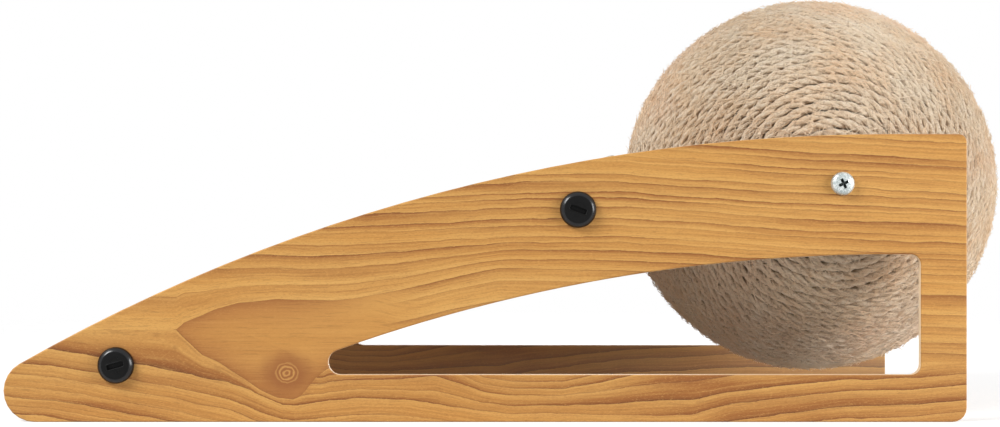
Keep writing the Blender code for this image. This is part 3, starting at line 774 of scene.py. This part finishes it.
# %% Weave the mat
YARN = 0.0042
PARTS_OF_YARN = 4
WEAVE_DEPTH = 0.0007
YARN_SWAY = 0.5
EDGE_FALL = 0.0012
BOARD_GAP = 0.0001
across = round(mat_width / YARN)
lengthways = round(mat_length / YARN)


def yarn_height(u, v):
    """Height of the weave, 1 at most, at a place counted in yarns: the higher of the two yarns."""
    i = math.floor(u)
    j = math.floor(v)
    sway = math.cos(math.pi * (v - 0.5)) * (-1) ** i
    warp = sway * YARN_SWAY + math.sqrt(max(0.0, 1 - (2 * (u - i) - 1) ** 2))
    sway = -math.cos(math.pi * (u - 0.5)) * (-1) ** j
    weft = sway * YARN_SWAY + math.sqrt(max(0.0, 1 - (2 * (v - j) - 1) ** 2))
    return max(warp, weft) / (1 + YARN_SWAY)


bm = bmesh.new()
uv_layer = bm.loops.layers.uv.new("UVMap")
bmesh.ops.create_grid(bm, x_segments=across * PARTS_OF_YARN, y_segments=lengthways * PARTS_OF_YARN,
                      size=0.5)
for vert in bm.verts:
    u = (vert.co.x + 0.5) * across
    v = (vert.co.y + 0.5) * lengthways
    inward = min(u, v, across - u, lengthways - v, 1.0)
    height = MAT_THICKNESS - WEAVE_DEPTH * (1 - yarn_height(u, v)) - EDGE_FALL * (1 - inward) ** 2
    vert.co = (mat_corner + up_slope * (mat_length * v / lengthways)
               + Vector((0, mat_width * (u / across - 0.5), 0)) + off_slope * height)
rim = [edge for edge in bm.edges if edge.is_boundary]
skirt = bmesh.ops.extrude_edge_only(bm, edges=rim)["geom"]
for vert in (item for item in skirt if isinstance(item, bmesh.types.BMVert)):
    vert.co -= off_slope * ((vert.co - mat_corner).dot(off_slope) - BOARD_GAP)
bottom = [edge for edge in bm.edges if edge.is_boundary]
bmesh.ops.contextual_create(bm, geom=bottom)
bmesh.ops.recalc_face_normals(bm, faces=bm.faces[:])
for face in bm.faces:
    for loop in face.loops:
        flat = loop.vert.co - mat_corner
        loop[uv_layer].uv = (flat.y / YARN, flat.dot(up_slope) / YARN)
    face.smooth = len(face.verts) == 4
mat_mesh = bpy.data.meshes.new("sisal_mat")
bm.to_mesh(mat_mesh)
bm.free()
print("mat triangles:", triangles(mat_mesh))

# %% [markdown]
# The sisal's fibres have to run along whichever yarn is on top. The mat's UV counts yarns, so a
# checker of its whole numbers tells the two ways apart, as it does in the weave itself. Sisal is
# duller and stiffer than the ball's jute, and its tone changes in soft patches.


# %% The sisal
SISAL_DARK = (0.600, 0.455, 0.270)
SISAL_LIGHT = (0.720, 0.590, 0.390)
SISAL_GAP = (0.300, 0.200, 0.095)
SISAL_FIBRE = (0.830, 0.730, 0.550)


def sisal(name):
    """Woven sisal, with fibres that follow the upper yarn."""
    material, shader, place = begin(name)
    uv = place.node("UVMap", {"uv_map": "UVMap"})
    u = part_of(uv, 0) + across / 2
    v = part_of(uv, 1)
    check = (u.maths("FLOOR") + v.maths("FLOOR")).maths("MODULO", 2.0)
    warp = noise_at(join(u * 6.0, v * 0.8, 0.0), 1.0, 3.0, 0.7)
    weft = noise_at(join(u * 0.8, v * 6.0, 5.0), 1.0, 3.0, 0.7)
    fibres = warp + (weft - warp) * check
    patch = noise_at(place, 25.0, 2.0)
    colour = blend(patch.step(0.3, 0.7), SISAL_DARK, SISAL_LIGHT)
    colour = blend(fibres.step(0.48, 0.7) * 0.6, colour, SISAL_GAP)
    colour = blend((1.0 - fibres).step(0.5, 0.7) * 0.5, colour, SISAL_FIBRE)
    plug(shader, Base_Color=colour, Roughness=0.9, Specular_IOR_Level=0.15, Sheen_Weight=0.2,
         Normal=bump(fibres, 0.0005, 0.7))
    return material


woven_mat = add_piece("woven_mat", mat_mesh, sisal("woven_sisal"), "frame")
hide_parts("scratch_mat")

# %% [markdown]
# The coin bolts are moulded in black nylon: a low head with a rounded shoulder, a slot for a coin
# with a thin lip round it, and small raised ticks to grip. The head starts as two loops of the same
# number of points, the slot's outline and the flat's circle. The slot's loop is drawn out into the
# lip, and down for the slot. The lip is bridged to the circle, which is then drawn out round the
# shoulder and back along the shank.


# %% Helpers for turned heads
MM = 0.001
SMOOTH_UP_TO = math.radians(38)


def draw_out(bm, loop, moves):
    """Extrude a closed loop of edges step by step, each time scaled about Z and moved along it."""
    edges = loop
    for *scale, drop in moves:
        made = bmesh.ops.extrude_edge_only(bm, edges=edges)["geom"]
        verts = [item for item in made if isinstance(item, bmesh.types.BMVert)]
        edges = [item for item in made if isinstance(item, bmesh.types.BMEdge)]
        bmesh.ops.scale(bm, vec=(scale[0], scale[-1], 1), verts=verts)
        bmesh.ops.translate(bm, vec=(0, 0, drop), verts=verts)
    return edges


def circle_loop(bm, radius, points, shape=None, drop=0.0):
    """A closed loop of edges, round or with each of its points moved by shape, sunk by drop."""
    verts = bmesh.ops.create_circle(bm, segments=points, radius=radius)["verts"]
    for vert in verts:
        if shape:
            vert.co = shape(vert.co)
    bmesh.ops.translate(bm, vec=(0, 0, -drop), verts=verts)
    return list({edge for vert in verts for edge in vert.link_edges})


def steps(profile):
    """Turn a profile of radius and depth, in millimetres, into scales and drops from loop to loop."""
    return [(after[0] / before[0], before[1] * MM - after[1] * MM)
            for before, after in zip(profile, profile[1:])]


def set_in_panel(bm, node, side):
    """Turn a head that was built facing up so that it faces out of its panel, at its CAD node."""
    low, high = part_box(node)
    place = (low + high) / 2
    place.y = low.y if side == "right" else high.y
    turn = Matrix.Rotation(math.pi / 2, 4, "X")
    if side == "left":
        turn = Matrix.Rotation(math.pi, 4, "Z") @ turn
    bmesh.ops.transform(bm, matrix=Matrix.Translation(place) @ turn, verts=bm.verts[:])


def finish_head(bm, node, side, materials):
    """Set a head in its panel, smooth its round parts and let it replace its CAD node."""
    set_in_panel(bm, node, side)
    bmesh.ops.recalc_face_normals(bm, faces=bm.faces[:])
    name = f"{node}_dressed"
    mesh = bpy.data.meshes.new(name)
    bm.to_mesh(mesh)
    bm.free()
    mesh.shade_smooth()
    mesh.set_sharp_from_angle(angle=SMOOTH_UP_TO)
    piece = add_piece(name, mesh, materials[0], "frame")
    mesh.materials.append(materials[1])
    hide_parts(node)


# %% Coin bolts
HEAD_POINTS = 64
SLOT_TURN = {"lower": 15.6, "upper": -20.0}
SLOT_HALF = (4.3, 1.35)
SLOT_ROUNDNESS = 0.35
FLAT_SUNK = 0.17
SHOULDER = ((6.9, 0.0), (7.15, 0.06), (7.75, 0.5), (8.35, 1.05), (8.8, 1.6), (9.1, 2.3), (9.1, 3.33),
            (4.0, 3.33), (4.0, 22.0), (3.0, 25.0))
TICKS = ((-1.6, 3.4, 1.3, 60), (0.2, 3.9, 1.3, 0), (2.0, 3.2, 1.3, -60), (-0.6, -3.3, 1.2, 75),
         (0.8, -3.3, 1.2, 75))
TICK_WIDTH = 0.34
TICK_SUNK = 0.12


def slot_outline(co):
    """Move a circle's point to the outline of a long slot with round corners."""
    x = math.copysign(abs(co.x) ** SLOT_ROUNDNESS, co.x)
    y = math.copysign(abs(co.y) ** SLOT_ROUNDNESS, co.y)
    return Vector((x * SLOT_HALF[0] * MM, y * SLOT_HALF[1] * MM, 0))


def add_tick(bm, x, y, length, turn):
    """One raised tick on the flat: a small bar, turned by some degrees."""
    tick = bmesh.ops.create_cube(bm, size=1.0)["verts"]
    bmesh.ops.scale(bm, vec=(length * MM, TICK_WIDTH * MM, TICK_WIDTH * MM), verts=tick)
    turned = Matrix.Rotation(math.radians(turn), 4, "Z")
    placed = Matrix.Translation((x * MM, y * MM, -TICK_SUNK * MM)) @ turned
    bmesh.ops.transform(bm, matrix=placed, verts=tick)


def coin_bolt(level, side):
    """One black coin bolt, built facing up round its own axis and then set in its panel."""
    bm = bmesh.new()
    slot_loop = circle_loop(bm, 1.0, HEAD_POINTS, slot_outline)
    lip = draw_out(bm, slot_loop, [(1.04, 1.18, 0.1 * MM), (1.04, 1.15, -0.24 * MM)])
    floor_loop = draw_out(bm, slot_loop, [(0.98, 0.94, -0.4 * MM), (0.98, 0.94, -2.4 * MM)])
    bmesh.ops.contextual_create(bm, geom=floor_loop)
    flat = circle_loop(bm, SHOULDER[0][0] * MM, HEAD_POINTS, drop=FLAT_SUNK * MM)
    bmesh.ops.bridge_loops(bm, edges=lip + flat)
    plain = len(bm.faces)
    tip = draw_out(bm, flat, steps(SHOULDER))
    bm.faces.ensure_lookup_table()
    for face in bm.faces[plain:]:
        face.material_index = 1
    bmesh.ops.contextual_create(bm, geom=tip)
    for tick in TICKS:
        add_tick(bm, *tick)
    bmesh.ops.rotate(bm, matrix=Matrix.Rotation(math.radians(SLOT_TURN[level]), 3, "Z"), verts=bm.verts[:])
    finish_head(bm, f"coin_bolt_{level}_{side}", side, (black_plastic, black_gloss))


for level in ("lower", "upper"):
    for side in ("right", "left"):
        coin_bolt(level, side)

# %% [markdown]
# The axle screws are M6 pan heads, zinc plated, with a cross recess. The recess is the same trick:
# an outline with as many points as the head's circle, bridged to it and drawn down. The cross's
# outline is worked out from the angle. The recess takes the dark zinc, a painted shade for its hollow.
# The faces that come after it copy that painted shade from the edges that they grow from, so they
# are given the plate's own again.

# %% Axle screws
CROSS_POINTS = 96
CROSS_TURN = 25.0
CROSS_REACH = 2.6
CROSS_HALF_WIDTH = 0.72
CROWN_SUNK = 0.12
PAN_HEAD = ((2.75, 0.0), (3.6, 0.16), (4.4, 0.45), (5.0, 0.85), (5.45, 1.35), (5.75, 2.0), (5.85, 2.6),
            (5.85, 3.48), (3.0, 3.48), (3.0, 20.5), (2.3, 21.4))


def cross_outline(co):
    """Move a circle's point to the outline of a cross with four equal arms."""
    angle = math.atan2(co.y, co.x)
    off_arm = (angle + math.pi / 4) % (math.pi / 2) - math.pi / 4
    reach = min(CROSS_REACH / math.cos(off_arm), CROSS_HALF_WIDTH / max(abs(math.sin(off_arm)), 1e-6))
    return Vector((math.cos(angle), math.sin(angle), 0)) * reach * MM


def axle_screw(side):
    """One pan-head screw, built facing up round its own axis and then set in its panel."""
    bm = bmesh.new()
    cross = circle_loop(bm, 1.0, CROSS_POINTS, cross_outline)
    depth = draw_out(bm, cross, [(0.95, -0.5 * MM), (0.75, -1.5 * MM), (0.35, -0.9 * MM)])
    bmesh.ops.contextual_create(bm, geom=depth)
    # The recess's faces take the dark zinc, a painted shade for the hollow.
    for face in bm.faces:
        face.material_index = 1
    recess = len(bm.faces)
    crown = circle_loop(bm, PAN_HEAD[0][0] * MM, CROSS_POINTS, drop=CROWN_SUNK * MM)
    bmesh.ops.bridge_loops(bm, edges=cross + crown)
    tip = draw_out(bm, crown, steps(PAN_HEAD))
    bmesh.ops.contextual_create(bm, geom=tip)
    bm.faces.ensure_lookup_table()
    for face in bm.faces[recess:]:
        face.material_index = 0
    bmesh.ops.rotate(bm, matrix=Matrix.Rotation(math.radians(CROSS_TURN), 3, "Z"), verts=bm.verts[:])
    finish_head(bm, f"axle_screw_{side}", side, (zinc_plate, zinc_painted_shade))


for side in ("right", "left"):
    axle_screw(side)

# %% [markdown]
# The floor has to look white, like the studio's. Its own colour is a middle grey. It glows a little,
# as a lit table does from beneath, and a lift that only the camera sees brings it and the world
# behind it to the photograph's clean white. Far from the object it fades out into that white, and
# near it the object's shadow stays. The light on the object stays plain: two square soft lamps in
# front, one from each side, a weaker one behind, and a dim grey world.

# %% Floor, world and lamps
FLOOR_SIZE = 2.0
FLOOR_TONE = 0.50
FLOOR_ROUGHNESS = 0.9
FLOOR_GLOW = 0.08
FLOOR_LIFT = 0.48
FADE_FROM = 0.45
FADE_TO = 0.95
WORLD_LIGHT = 0.12


def camera_or_gloss(tree):
    """1 for what the camera and reflections see, and 0 for the light that falls on the object."""
    path = tree.nodes.new("ShaderNodeLightPath")
    return Value(tree, path.outputs["Is Camera Ray"]).most(Value(tree, path.outputs["Is Glossy Ray"]))


def white_where_seen(tree, surface, glow, lift):
    """Add a glow to a surface, and a lift that only the camera and reflections see."""
    strength = camera_or_gloss(tree) * lift + glow
    light = surface.node("Emission", inputs={"Color": (1, 1, 1, 1), "Strength": strength})
    return surface.node("AddShader", inputs={0: surface, 1: light})


def fade_out(tree, surface, near, far):
    """Let a surface turn clear between two distances from its middle, so that its edge never shows."""
    coordinates = tree.nodes.new("ShaderNodeTexCoord")
    place = Value(tree, coordinates.outputs["Object"])
    reach = place.node("VectorMath", {"operation": "LENGTH"}, {0: place}, output=1)
    clear = reach.node("BsdfTransparent")
    return reach.node("MixShader", inputs={0: reach.step(near, far), 1: surface, 2: clear})


bm = bmesh.new()
bmesh.ops.create_grid(bm, x_segments=1, y_segments=1, size=FLOOR_SIZE / 2)
floor_mesh = bpy.data.meshes.new("floor")
bm.to_mesh(floor_mesh)
bm.free()
floor = bpy.data.objects.new("floor", floor_mesh)
bpy.context.collection.objects.link(floor)
floor_material = bpy.data.materials.new("white_floor")
floor_material.use_nodes = True
floor_tree = floor_material.node_tree
floor_shader = floor_tree.nodes["Principled BSDF"]
floor_shader.inputs["Base Color"].default_value = (FLOOR_TONE, FLOOR_TONE, FLOOR_TONE, 1)
floor_shader.inputs["Roughness"].default_value = FLOOR_ROUGHNESS
floor_end = Value(floor_tree, floor_shader.outputs[0])
floor_end = white_where_seen(floor_tree, floor_end, FLOOR_GLOW, FLOOR_LIFT)
floor_end = fade_out(floor_tree, floor_end, FADE_FROM, FADE_TO)
floor_tree.links.new(floor_end.socket, floor_tree.nodes["Material Output"].inputs["Surface"])
floor_mesh.materials.append(floor_material)

world = bpy.data.worlds.new("studio")
bpy.context.scene.world = world
world.use_nodes = True
world_tree = world.node_tree
background = world_tree.nodes["Background"]
background.inputs["Color"].default_value = (1, 1, 1, 1)
strength = camera_or_gloss(world_tree) * (1.0 - WORLD_LIGHT) + WORLD_LIGHT
world_tree.links.new(strength.socket, background.inputs["Strength"])


def soft_lamp(name, place, target, size, power):
    """A square lamp that looks at a point: its side in metres and its power in watts."""
    data = bpy.data.lights.new(name, "AREA")
    data.shape = "SQUARE"
    data.size = size
    data.energy = power
    lamp = bpy.data.objects.new(name, data)
    lamp.location = place
    lamp.rotation_euler = (Vector(target) - Vector(place)).to_track_quat("-Z", "Y").to_euler()
    bpy.context.collection.objects.link(lamp)


soft_lamp("left_softbox", (-1.1, -0.75, 1.1), (0.0, 0.0, 0.08), 0.7, 25.5)
soft_lamp("right_softbox", (1.15, -0.6, 0.30), (0.1, 0.0, 0.08), 0.6, 12.5)
soft_lamp("rear_softbox", (0.3, 1.3, 0.35), (0.1, 0.0, 0.06), 0.7, 9.0)
bpy.context.scene.view_settings.view_transform = "Standard"
